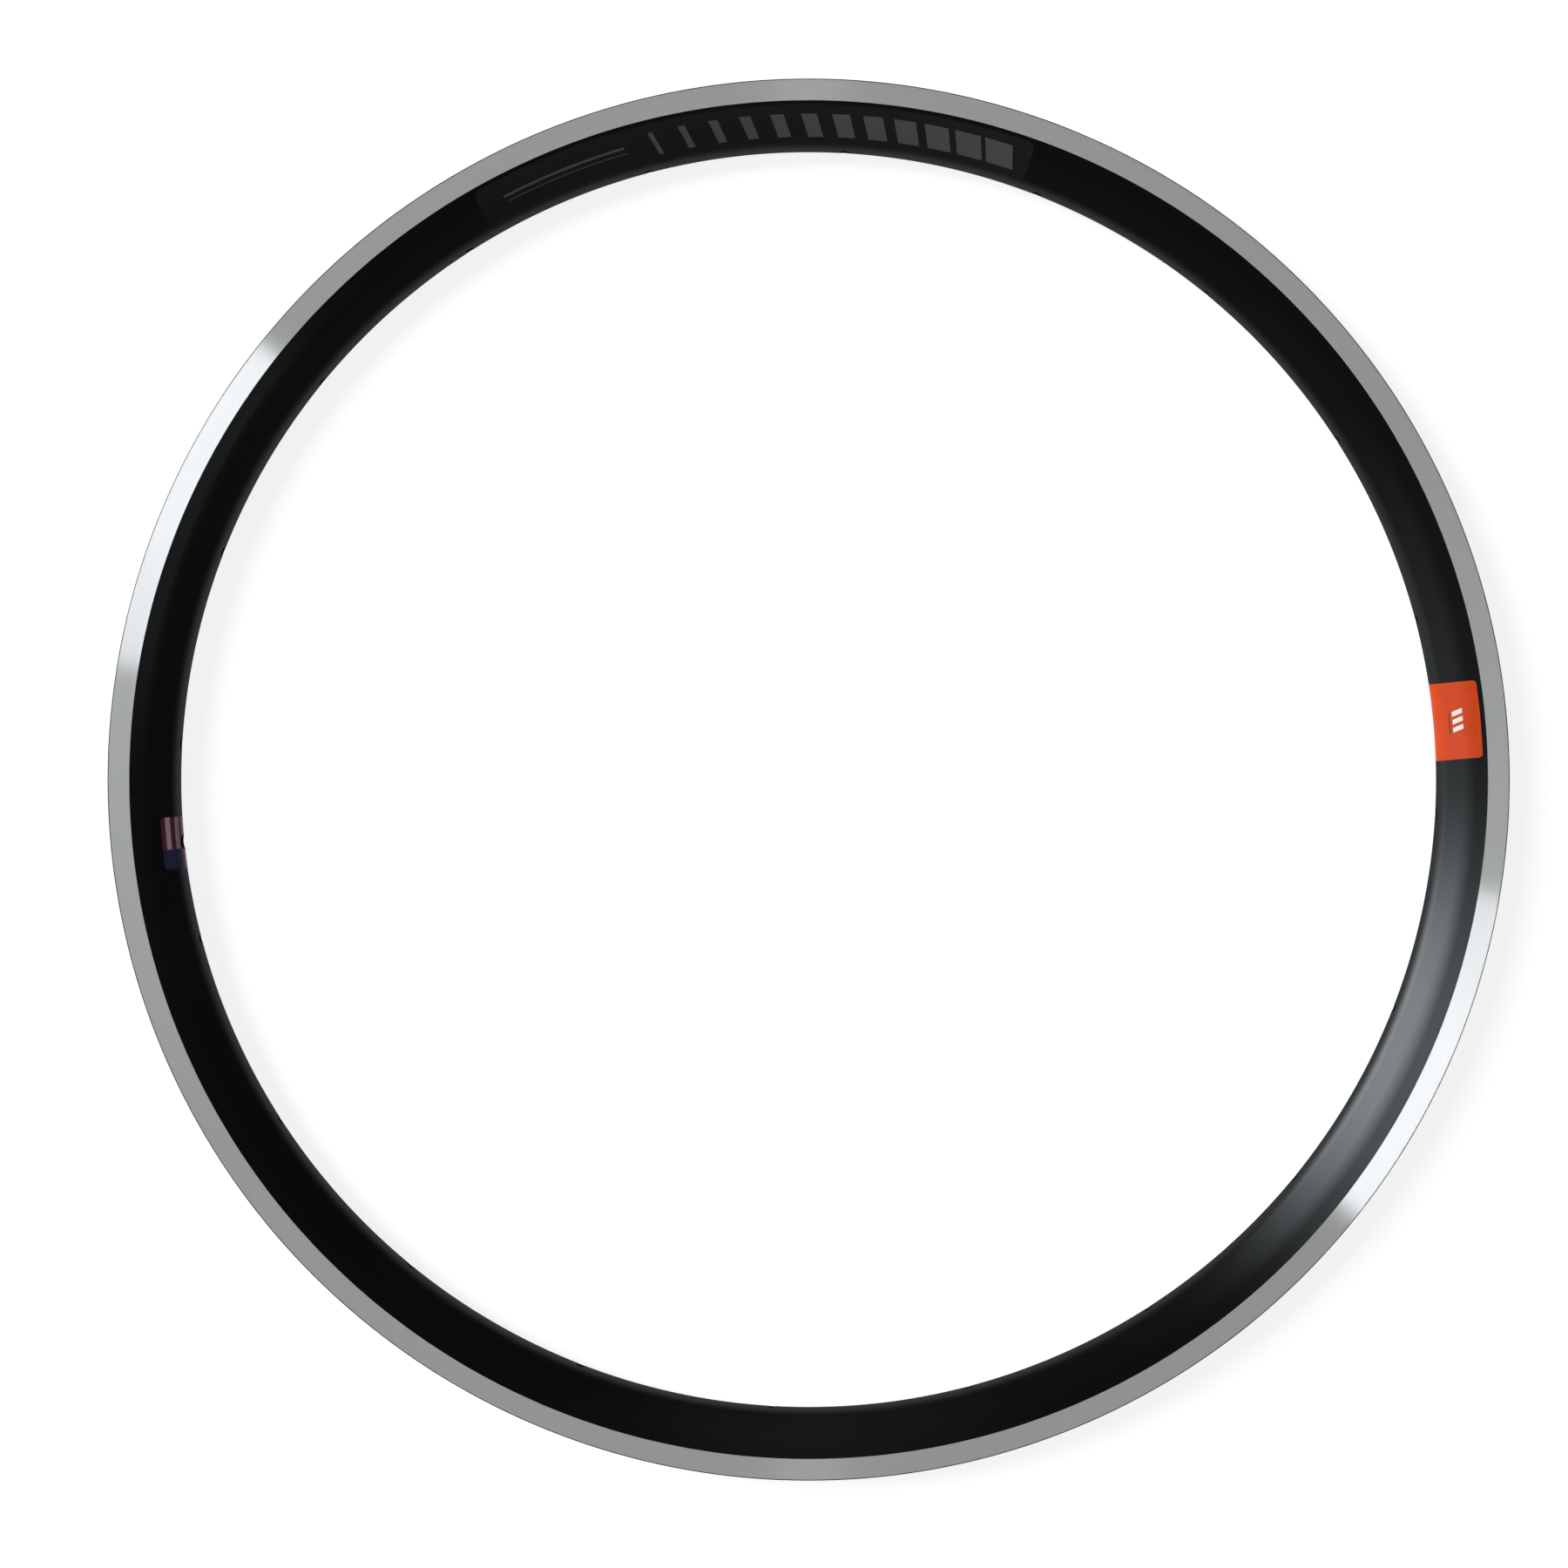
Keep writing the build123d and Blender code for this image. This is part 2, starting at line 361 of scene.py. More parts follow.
class Section:
    """The rim's section: its outside, the hollow inside it, and the faces that holes are drilled through."""

    def __init__(self, sizes):
        self.sizes = sizes
        self.edge = sizes.rim_edge
        self.nose_round = sizes.nose_round
        self.nose_centre = self.edge - sizes.section_depth + sizes.nose_round
        self.bead_seat = self.edge - sizes.flange_height
        self.well_floor = self.bead_seat - sizes.well_depth
        self.ceiling = self.well_floor - sizes.bridge_wall
        self.bed = self.edge - sizes.section_depth + sizes.spoke_bed
        self.track_foot = self.edge - sizes.track_height
        self.shoulder = self.edge - sizes.shoulder_depth
        self.shoulder_height = sizes.shoulder_width / 2
        self.half_width = sizes.half_width
        self.bead_wall = sizes.half_width - sizes.brake_wall
        self.shelf_edge = self.bead_wall - sizes.shelf_width
        self.well_edge = self.shelf_edge - sizes.well_flank
        reach = math.hypot(self.shoulder - self.nose_centre, self.shoulder_height)
        lean = math.atan2(self.shoulder_height, self.shoulder - self.nose_centre)
        self.flank_facing = math.pi - lean - math.acos(self.nose_round / reach)
        self.outside = self.draw_outside()
        self.hollow = self.draw_hollow()

    def patch_rows(self, radius, patch, facing):
        """Even rows from the middle plane to a patch's edge, on a face square to the spokes."""
        half = PATCH_STEPS // 2
        return np.array([(radius, patch * step / half, facing, 0.0) for step in range(half + 1)])

    def round_nose(self, turn, rounding):
        """Radius and height on a round about the nose's centre, at a turn from the spoke's line."""
        return self.nose_centre - rounding * math.cos(turn), rounding * math.sin(turn)

    def nose_rows(self):
        """Rows round the nose, from the flank to the middle plane, with one at the patch's edge."""
        edge = math.asin(NOSE_PATCH / self.nose_round)
        to_patch = np.linspace(self.flank_facing, edge, NOSE_STEPS + 1)[1:]
        to_middle = np.linspace(edge, 0, PATCH_STEPS // 2 + 1)[1:]
        turns = [*to_patch, *to_middle]
        places = [self.round_nose(turn, self.nose_round) for turn in turns]
        return np.array([(*place, -math.cos(turn), math.sin(turn)) for place, turn in zip(places, turns)])

    def draw_outside(self):
        """Upper half of the outside: well, shelf, hook, brake track, wall, flank and nose."""
        s = self.sizes
        hook_foot = self.edge - s.hook_height
        hook_tip = self.bead_wall - s.hook_lip
        floor = self.patch_rows(self.well_floor, FLOOR_PATCH, 1.0)
        upper = round_outline(
            [
                (self.well_floor, FLOOR_PATCH, 0, 0),
                (self.well_floor, self.well_edge, WELL_ROUND, CORNER_STEPS),
                (self.bead_seat, self.shelf_edge, SHELF_ROUND, CORNER_STEPS),
                (self.bead_seat, self.bead_wall, SEAT_ROUND, CORNER_STEPS),
                (hook_foot - s.hook_slope, self.bead_wall, HOOK_ROUND, CORNER_STEPS),
                (hook_foot, hook_tip, HOOK_ROUND, CORNER_STEPS),
                (self.edge, hook_tip, LIP_ROUND, EDGE_STEPS),
                (self.edge, self.half_width, EDGE_ROUND, EDGE_STEPS),
                (self.track_foot, self.half_width, FOOT_ROUND, FOOT_STEPS),
                (self.track_foot - s.track_step, self.half_width - s.track_step, FOOT_ROUND, FOOT_STEPS),
                (self.shoulder, self.shoulder_height, s.shoulder_round, SHOULDER_STEPS),
                (*self.round_nose(self.flank_facing, self.nose_round), 0, 0),
            ]
        )
        return np.concatenate([floor, between(upper, LONGEST_STRETCH)[1:], self.nose_rows()])

    def draw_hollow(self):
        """Upper half of the hollow, from the underside of the tyre bed to the spoke bed."""
        s = self.sizes
        inner_round = self.nose_round - s.side_wall
        bed_edge = math.sqrt(inner_round**2 - (self.nose_centre - self.bed) ** 2)
        top = self.bead_seat - s.shelf_wall
        wall_foot = self.shoulder_height - s.side_wall / math.sin(self.flank_facing)
        walls = round_outline(
            [
                (self.ceiling, FLOOR_PATCH, 0, 0),
                (self.ceiling, self.well_edge, CEILING_CORNER, HOLLOW_STEPS),
                (top, self.shelf_edge, CEILING_CORNER, HOLLOW_STEPS),
                (top, self.half_width - s.root_wall, ROOT_CORNER, HOLLOW_STEPS),
                (self.shoulder, wall_foot, WALL_CORNER, HOLLOW_STEPS),
                (*self.round_nose(self.flank_facing, inner_round), NOSE_CORNER, HOLLOW_STEPS),
                (self.bed, bed_edge, BED_CORNER, HOLLOW_STEPS),
                (self.bed, BED_PATCH, 0, 0),
            ]
        )
        walls[:, 2:] *= -1
        ceiling = self.patch_rows(self.ceiling, FLOOR_PATCH, -1.0)
        bed = self.patch_rows(self.bed, BED_PATCH, 1.0)
        return np.concatenate([ceiling, walls[1:-1], bed[::-1]])

    def body_run(self):
        """The body's outside from one track's foot over the nose to the other's, for a film to lie on."""
        rows = self.outside[self.outside[:, 1] > 0]
        from_foot = np.hypot(rows[:, 0] - self.track_foot, rows[:, 1] - self.half_width)
        start = np.argmax(from_foot < 2 * self.sizes.track_step)
        upper = np.concatenate([rows[start:], self.outside[-1:]])
        return np.concatenate([upper, upper[-2::-1] * MIRROR])

    def surface(self, kind, height):
        """Radius and facing of a drilled face at a height."""
        height = np.asarray(height, float)
        flat = np.zeros_like(height)
        if kind == "nose":
            drop = np.sqrt(self.nose_round**2 - height**2)
            return self.nose_centre - drop, -drop / self.nose_round, height / self.nose_round
        radius, facing = {
            "bed": (self.bed, 1.0),
            "ceiling": (self.ceiling, -1.0),
            "floor": (self.well_floor, 1.0),
        }[kind]
        return flat + radius, flat + facing, flat


def turned(radius, angle, height):
    """Points from radius, angle and height."""
    radius, angle, height = np.broadcast_arrays(radius, angle, height)
    return np.stack([radius * np.cos(angle), radius * np.sin(angle), height], axis=-1)


def round_turn(loop):
    """The turn of each point of a loop round its hole."""
    return np.arange(len(loop)) * math.tau / len(loop)


def towards_round(points, hole, radius, blend):
    """Places beside and above a hole's line, a share of the way from a loop of points to a round."""
    turn = round_turn(points)
    side = points[:, 1] * math.cos(hole) - points[:, 0] * math.sin(hole)
    beside = (1 - blend) * side + blend * radius * np.cos(turn)
    return beside, (1 - blend) * points[:, 2] + blend * radius * np.sin(turn)


def hoop_columns(bearings):
    """Angles of the columns round the hoop, and the numbers of the columns of the patch at each bearing."""
    angles, starts = [], []
    following = [*bearings[1:], bearings[0] + math.tau]
    for hole, next_hole in zip(bearings, following):
        starts.append(len(angles))
        angles += [hole + PATCH_HALF_ANGLE * (2 * step / PATCH_STEPS - 1) for step in range(PATCH_STEPS)]
        gap = next_hole - hole - 2 * PATCH_HALF_ANGLE
        pieces = math.ceil(gap / COLUMN_STEP)
        angles += [hole + PATCH_HALF_ANGLE + gap * step / pieces for step in range(pieces)]
    columns = [[(start + step) % len(angles) for step in range(PATCH_STEPS + 1)] for start in starts]
    return np.array(angles), columns


def patch_about(rows, middle):
    """Numbers of the rows of a patch about a row in the middle plane."""
    half = PATCH_STEPS // 2
    return [(middle + shift) % len(rows) for shift in range(-half, half + 1)]


def patch_loop(grid, rows, patch, columns):
    """Numbers of the points round a patch, from the middle of its right side and over its upper side."""
    if rows[patch[0], 1] > rows[patch[-1], 1]:
        patch = patch[::-1]
    half = PATCH_STEPS // 2
    loop = [(row, columns[-1]) for row in patch[half:]]
    loop += [(patch[-1], column) for column in columns[-2::-1]]
    loop += [(row, columns[0]) for row in patch[-2::-1]]
    loop += [(patch[0], column) for column in columns[1:]]
    loop += [(row, columns[-1]) for row in patch[1:half]]
    return np.array([grid[place] for place in loop])


def revolve_section(skin, rows, angles, finishes, patches, columns):
    """Turns a closed section round the axis, less the patches, and returns the grid of point numbers."""
    points = turned(rows[:, 0][:, None], angles[None, :], rows[:, 1][:, None])
    facings = turned(rows[:, 2][:, None], angles[None, :], rows[:, 3][:, None])
    grid = skin.add_points(points, facings)
    keep = np.ones(grid.shape, bool)
    for patch in patches:
        for patch_columns in columns:
            keep[np.ix_(patch[:-1], patch_columns[:-1])] = False
    next_row = np.roll(grid, -1, axis=0)
    finish = np.broadcast_to(np.asarray(finishes)[:, None], grid.shape)
    skin.add_quads(
        grid[keep],
        np.roll(grid, -1, axis=1)[keep],
        np.roll(next_row, -1, axis=1)[keep],
        next_row[keep],
        finish[keep],
    )
    return grid


def drilled_edge(skin, section, kind, loop, hole, radius, edge):
    """Fills a patch up to a drilled hole, rounds the edge, and returns the loop at the top of the wall."""
    points = skin.places(loop)
    turn = round_turn(loop)
    wall = np.stack([np.cos(turn) * math.sin(hole), -np.cos(turn) * math.cos(hole), -np.sin(turn)], axis=-1)
    for blend, bend in EDGE_LOOPS:
        bend_angle = bend * math.pi / 2
        round_radius = radius + edge * (1 - math.sin(bend_angle))
        side, height = towards_round(points, hole, round_radius, blend)
        reach, facing_out, facing_up = section.surface(kind, height)
        outward = np.sqrt(reach**2 - side**2) - np.sign(facing_out) * edge * (1 - math.cos(bend_angle))
        around = hole + np.arctan2(side, outward)
        face = turned(facing_out, around, facing_up)
        facing = face * math.cos(bend_angle) + wall * math.sin(bend_angle)
        following = skin.add_points(turned(np.hypot(outward, side), around, height), facing)
        skin.join_loops(loop, following)
        loop = following
    return loop


class Film:
    """The body's outside as a run that films lie on, from one track's foot over the nose to the other's."""

    def __init__(self, section):
        self.run = section.body_run()
        steps = np.hypot(*np.diff(self.run[:, :2], axis=0).T)
        self.along = np.concatenate([[0], np.cumsum(steps)])

    def place_of(self, radius, below=False):
        """Distance along the body at which it has a radius, on the upper or the lower side."""
        middle = np.argmin(self.run[:, 0])
        if below:
            return np.interp(radius, self.run[middle:, 0], self.along[middle:])
        return np.interp(-radius, -self.run[: middle + 1, 0], self.along[: middle + 1])

    def place_at_height(self, height):
        """Distance along the body at which it has a height."""
        return np.interp(-height, -self.run[:, 1], self.along)

    def at(self, places):
        """Radius, height and facing at distances along the body."""
        rows = np.stack([np.interp(places, self.along, column) for column in self.run.T], axis=-1)
        rows[:, 2:] /= np.linalg.norm(rows[:, 2:], axis=1, keepdims=True)
        return rows


def film_places(start, end, corner, corner_steps, middle):
    """Distances along the body: close together at a film's round corners, with the given ones between."""
    close = np.linspace(0, 1, corner_steps) ** 2 * corner
    return np.concatenate([start + close, middle, end - close[::-1]])


def film_half_width(places, corner, half_width):
    """Half a film's width at each distance along the body, drawn in where its corners are round."""
    from_end = np.minimum(places - places[0], places[-1] - places)
    inside = np.clip(corner - from_end, 0, corner)
    return half_width - corner + np.sqrt(corner**2 - inside**2)


def laid_flat(across, places):
    """Each point's place on a film that lies flat: round the wheel, and along the section."""
    return np.stack([across, np.broadcast_to((places - places[0])[:, None], across.shape)], axis=-1)


def cut_edge(skin, face, back, inward=False):
    """The cut edge of a film, between a loop on its face and the like loop on its back."""
    face_points, back_points = skin.places(face), skin.places(back)
    flat = np.concatenate(skin.uvs)[face]
    run = np.roll(face_points, -1, axis=0) - np.roll(face_points, 1, axis=0)
    facing = np.cross(run, face_points - back_points)
    outward = np.einsum("ij,ij->", facing, face_points - face_points.mean(axis=0)) > 0
    if outward == inward:
        facing = -facing
    skin.join_loops(skin.add_points(face_points, facing, flat), skin.add_points(back_points, facing, flat))


def film_sides(films):
    """A film's face and back: the height of each one over the metal, and the way that it faces."""
    return ((films.lift, 1), (films.glue, -1))


def lay_film(skin, rows, angles, flat, films, window=None):
    """Lays a closed film over the body, less a window for a hole; returns the grids of its face and back."""
    radius, height, facing_out, facing_up = (column[:, None] for column in rows.T)
    facings = turned(facing_out, angles, facing_up)
    keep = np.ones((angles.shape[0] - 1, angles.shape[1] - 1), bool)
    if window is not None:
        keep[np.ix_(window[0][:-1], window[1][:-1])] = False
    grids = []
    for lift, way in film_sides(films):
        points = turned(radius + lift * facing_out, angles, height + lift * facing_up)
        grid = skin.add_points(points, way * facings, flat)
        corners = (grid[:-1, :-1], grid[:-1, 1:], grid[1:, 1:], grid[1:, :-1])
        skin.add_quads(*(corner[keep] for corner in corners))
        grids.append(grid)
    borders = [np.concatenate([g[0, :], g[1:, -1], g[-1, -2::-1], g[-2:0:-1, 0]]) for g in grids]
    cut_edge(skin, *borders)
    return grids


def punched_edge(skin, section, film, start, loop, hole, radius, lift, way):
    """Fills a window in a film over the nose up to a punched hole, and returns the loop round the hole."""
    points = skin.places(loop)
    for blend in (0.5, 1.0):
        side, height = towards_round(points, hole, radius, blend)
        reach, facing_out, facing_up = section.surface("nose", height)
        around = hole + np.arcsin(side / reach)
        place = turned(reach + lift * facing_out, around, height + lift * facing_up)
        flat = np.stack([side, film.place_at_height(height) - start], axis=-1)
        following = skin.add_points(place, way * turned(facing_out, around, facing_up), flat)
        skin.join_loops(loop, following)
        loop = following
    return loop


# Finishes


class Nodes:
    """Builds the nodes of a material or a world with short calls."""

    def __init__(self, owner, end="OutputMaterial"):
        owner.use_nodes = True
        self.owner = owner
        self.tree = owner.node_tree
        self.tree.nodes.clear()
        self.output = self.add(end)

    def add(self, kind, **settings):
        """A node of a kind, with its settings."""
        made = self.tree.nodes.new("ShaderNode" + kind)
        for name, value in settings.items():
            setattr(made, name, value)
        return made

    def link(self, out, socket):
        """A link from an output to an input."""
        self.tree.links.new(out, socket)

    def feed(self, socket, value):
        """Sets an input to a value or links it to an output."""
        if isinstance(value, bpy.types.NodeSocket):
            self.link(value, socket)
        else:
            socket.default_value = value

    def node(self, kind, inputs, **settings):
        """The first output of a node of a kind, with its inputs fed by name or in order."""
        made = self.add(kind, **settings)
        for key, value in inputs.items() if isinstance(inputs, dict) else enumerate(inputs):
            self.feed(made.inputs[key], value)
        return made.outputs[0]

    def math(self, operation, *values, clamp=False):
        """A sum on one or two numbers."""
        return self.node("Math", values, operation=operation, use_clamp=clamp)

    def chain(self, operation, values):
        """One operation on several numbers in turn."""
        first, *others = values
        for other in others:
            first = self.math(operation, first, other)
        return first

    def product(self, *values):
        """The product of several numbers."""
        return self.chain("MULTIPLY", values)

    def total(self, *values):
        """The sum of several numbers."""
        return self.chain("ADD", values)

    def most(self, *values):
        """The largest of several numbers."""
        return self.chain("MAXIMUM", values)

    def ramp(self, value, low, high, out_low=0.0, out_high=1.0):
        """A number moved from one range to another."""
        return self.node("MapRange", (value, low, high, out_low, out_high))

    def band(self, value, low, high, soft=0.00006):
        """One inside a band and nought outside it, with a soft edge."""
        rise = self.ramp(value, low - soft, low + soft)
        fall = self.ramp(value, high - soft, high + soft, 1.0, 0.0)
        return self.product(rise, fall)

    def mix(self, share_of_second, first, second, blend_type="MIX"):
        """A blend of two colours."""
        made = self.add("Mix", data_type="RGBA", blend_type=blend_type)
        self.feed(made.inputs["Factor"], share_of_second)
        for name, value in (("A", first), ("B", second)):
            self.feed(made.inputs[name], value if isinstance(value, bpy.types.NodeSocket) else (*value, 1))
        return made.outputs["Result"]

    def parts(self, vector):
        """The three numbers of a vector."""
        made = self.add("SeparateXYZ")
        self.link(vector, made.inputs[0])
        return made.outputs

    def object_place(self):
        """The point's place in the piece's own frame."""
        return self.add("TexCoord").outputs["Object"]

    def wheel_place(self):
        """Radius, angle and height of the point, from the wheel's axis."""
        x, y, z = self.parts(self.object_place())
        radius = self.math("SQRT", self.total(self.product(x, x), self.product(y, y)))
        return radius, self.math("ARCTAN2", y, x), z

    def print_place(self):
        """Place on a film in metres: round the wheel, and along the section."""
        return self.parts(self.add("UVMap", uv_map="print").outputs[0])[:2]

    def noise(self, place, scale=1.0, detail=3.0, roughness=0.5):
        """A noise value about a half, in space or along one number."""
        kind, socket = ("1D", "W") if place.type == "VALUE" else ("3D", "Vector")
        inputs = {socket: place, "Scale": scale, "Detail": detail, "Roughness": roughness}
        return self.node("TexNoise", inputs, noise_dimensions=kind)

    def bump(self, height, distance, strength):
        """A bump from a height."""
        return self.node("Bump", {"Strength": strength, "Distance": distance, "Height": height})

    def round_the_wheel(self):
        """The way along the hoop, for lines that run round the wheel."""
        return self.add("Tangent", direction_type="RADIAL", axis="Z").outputs[0]

    def blend(self, share_of_second, first, second):
        """A mix of two shaders."""
        return self.node("MixShader", (share_of_second, first, second))

    def join(self, first, second):
        """The sum of two shaders."""
        return self.node("AddShader", (first, second))

    def finish(self, shader):
        """Ends the nodes with a shader and returns the material or world."""
        self.link(shader, self.output.inputs["Surface"])
        return self.owner


def toned(colour_values, factor):
    """A colour made lighter or darker."""
    return tuple(min(1.0, value * factor) for value in colour_values)


def machined_track(finishes):
    """Aluminium with fine turning marks that run round the wheel."""
    fine_lines, broad_lines = 5200.0, 900.0
    mark_height = 0.000003
    groove_share = 0.5
    n = Nodes(bpy.data.materials.new("machined_track"))
    radius = n.wheel_place()[0]
    fine = n.noise(n.product(radius, fine_lines), roughness=0.65)
    broad = n.noise(n.product(radius, broad_lines), detail=2.0)
    cloud = n.noise(n.object_place(), scale=9.0, detail=4.0, roughness=0.55)
    shade = n.total(
        n.ramp(fine, 0.2, 0.8, -0.05, 0.05),
        n.ramp(broad, 0.25, 0.75, -0.035, 0.035),
        n.ramp(cloud, 0.3, 0.7, -0.02, 0.02),
    )
    dull, pale = toned(finishes.track_metal, 0.86), toned(finishes.track_metal, 1.08)
    metal = n.mix(n.math("ADD", shade, 0.55, clamp=True), dull, pale)
    bump = n.bump(fine, mark_height, 0.3)
    roughness = finishes.track_roughness
    wide = n.node(
        "BsdfPrincipled",
        {
            "Base Color": metal,
            "Metallic": 0.45,
            "Roughness": n.ramp(cloud, 0.3, 0.7, roughness - 0.02, roughness + 0.02),
            "Normal": bump,
        },
    )
    grooves = n.node(
        "BsdfAnisotropic",
        {
            "Color": metal,
            "Roughness": 0.32,
            "Anisotropy": 0.93,
            "Tangent": n.round_the_wheel(),
            "Normal": bump,
        },
        distribution="GGX",
    )
    return n.finish(n.blend(groove_share, wide, grooves))


def black_anodise(finishes):
    """Satin black metal with a fine grain and faint lines drawn along the hoop."""
    drawn_lines, drawn_turns = 2600.0, 3.0
    mark_height = 0.000004
    sheen_share = 0.5
    n = Nodes(bpy.data.materials.new("black_anodise"))
    place = n.object_place()
    radius, around, height = n.wheel_place()
    across = [n.product(value, drawn_lines) for value in (radius, height)]
    drawn = n.noise(n.node("CombineXYZ", [*across, n.product(around, drawn_turns)]))
    grain = n.noise(place, scale=2400.0, detail=2.0)
    cloud = n.noise(place, scale=7.0, detail=4.0)
    mark = n.total(n.ramp(cloud, 0.3, 0.7, -0.02, 0.02), n.ramp(drawn, 0.25, 0.75, -0.015, 0.015))
    bump = n.bump(n.total(n.product(grain, 0.5), drawn), mark_height, 0.25)
    pigment = tuple(finishes.anodise)
    matt = n.node(
        "BsdfPrincipled",
        {
            "Base Color": n.mix(n.ramp(cloud, 0.35, 0.7), pigment, toned(pigment, 1.4)),
            "Roughness": 0.6,
            "Specular IOR Level": 0.05,
            "Normal": bump,
        },
    )
    sheen = n.node(
        "BsdfAnisotropic",
        {
            "Color": (*finishes.anodise_sheen, 1),
            "Roughness": n.total(mark, finishes.anodise_roughness),
            "Anisotropy": 0.55,
            "Tangent": n.round_the_wheel(),
            "Normal": bump,
        },
        distribution="BECKMANN",
    )
    return n.finish(n.blend(sheen_share, matt, sheen))


def film_finish(n, ink, roughness, gloss):
    """The smooth plastic face of a printed film, with a slight ripple from the glue under it."""
    ripple = 0.00002
    place = n.object_place()
    cloud = n.noise(place, scale=60.0, detail=2.0)
    grain = n.noise(place, scale=900.0, detail=2.0)
    face = n.node(
        "BsdfPrincipled",
        {
            "Base Color": ink,
            "Roughness": n.ramp(grain, 0.3, 0.7, roughness - 0.03, roughness + 0.03),
            "Specular IOR Level": gloss,
            "Normal": n.bump(n.total(cloud, n.product(grain, 0.04)), ripple, 0.5),
        },
    )
    return n.finish(face)


# How far a slanted print leans: along the film for each length across it
PRINT_LEAN = 0.32


def dark_decal_print(finishes):
    """Dark film with a row of slanted grey blocks that narrow towards one end, and two lines beyond them."""
    pitch, gap = 0.0148, 0.07
    first_block, last_block = -8, 3
    widest, narrowest = 0.86, 0.14
    row_ends = (first_block * pitch, (last_block + 1) * pitch)
    row_edges = (0.0042, 0.0146)
    line_ends = (0.0605, 0.1190)
    broad_line, fine_line = (0.0074, 0.0085), (0.0103, 0.0107)
    n = Nodes(bpy.data.materials.new("dark_decal_print"))
    along, across = n.print_place()
    slant = n.total(along, n.product(across, PRINT_LEAN))
    step = n.math("DIVIDE", slant, pitch)
    within = n.math("FRACT", step)
    width = n.ramp(n.math("FLOOR", step), first_block, last_block, widest, narrowest)
    blocks = n.product(
        n.math("GREATER_THAN", within, gap),
        n.math("LESS_THAN", within, n.total(width, gap)),
        n.band(across, *row_edges),
        n.band(slant, *row_ends, 0.0001),
    )
    lines = n.most(n.band(across, *broad_line), n.band(across, *fine_line))
    lines = n.product(lines, n.band(slant, *line_ends))
    fleck = n.noise(n.object_place(), scale=1400.0, detail=2.0)
    ink = n.product(n.most(blocks, lines), n.ramp(fleck, 0.25, 0.75, 0.86, 1.0))
    face = n.mix(ink, finishes.dark_film, finishes.grey_print)
    return film_finish(n, face, roughness=0.36, gloss=0.25)


def orange_label_print(finishes):
    """Orange film with three slanted pale bars over a fine dark line."""
    pitch, bar_count = 0.0036, 3
    row_end = pitch * bar_count / 2
    row_middle = 0.0105
    bar_edges, bar_width = (0.0078, 0.0125), (0.2, 0.8)
    line_end, line_edges = 0.0047, (0.0138, 0.0142)
    n = Nodes(bpy.data.materials.new("orange_label_print"))
    along, across = n.print_place()
    cloud = n.noise(n.object_place(), scale=120.0, detail=3.0)
    ground = tuple(finishes.orange)
    face = n.mix(n.ramp(cloud, 0.3, 0.7), toned(ground, 0.9), ground)
    slant = n.total(along, n.product(n.math("SUBTRACT", across, row_middle), PRINT_LEAN))
    within = n.math("FRACT", n.math("DIVIDE", n.total(slant, row_end), pitch))
    bars = n.product(
        n.band(within, *bar_width, 0.02),
        n.band(slant, -row_end, row_end),
        n.band(across, *bar_edges),
    )
    line = n.product(n.band(slant, -line_end, line_end), n.band(across, *line_edges))
    face = n.mix(bars, face, finishes.white_print)
    face = n.mix(line, face, finishes.dark_print)
    return film_finish(n, face, roughness=0.33, gloss=0.1)


def striped_label_print(finishes):
    """Red and off-white stripes with a dark blue block at one corner."""
    stripe_pair, stripe_start = 0.0043, 0.00015
    block_ends, block_edge = (0.0028, 0.02), 0.0086
    n = Nodes(bpy.data.materials.new("striped_label_print"))
    along, across = n.print_place()
    within = n.math("FRACT", n.math("DIVIDE", n.total(across, stripe_start), stripe_pair))
    face = n.mix(n.math("GREATER_THAN", within, 0.5), finishes.red_print, finishes.pale_print)
    block = n.product(n.band(along, *block_ends), n.math("LESS_THAN", across, block_edge))
    face = n.mix(block, face, finishes.blue_print)
    fleck = n.noise(n.object_place(), scale=500.0, detail=2.0)
    face = n.mix(n.ramp(fleck, 0.3, 0.7, 0.0, 0.18), face, finishes.fleck_print)
    return film_finish(n, face, roughness=0.42, gloss=0.18)


# Pieces


def settings():
    """The rim's settings in this scene."""
    return bpy.context.scene.bicycle_rim


def seat_piece(piece, node):
    """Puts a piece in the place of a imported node."""
    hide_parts(node)
    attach(piece, "root")


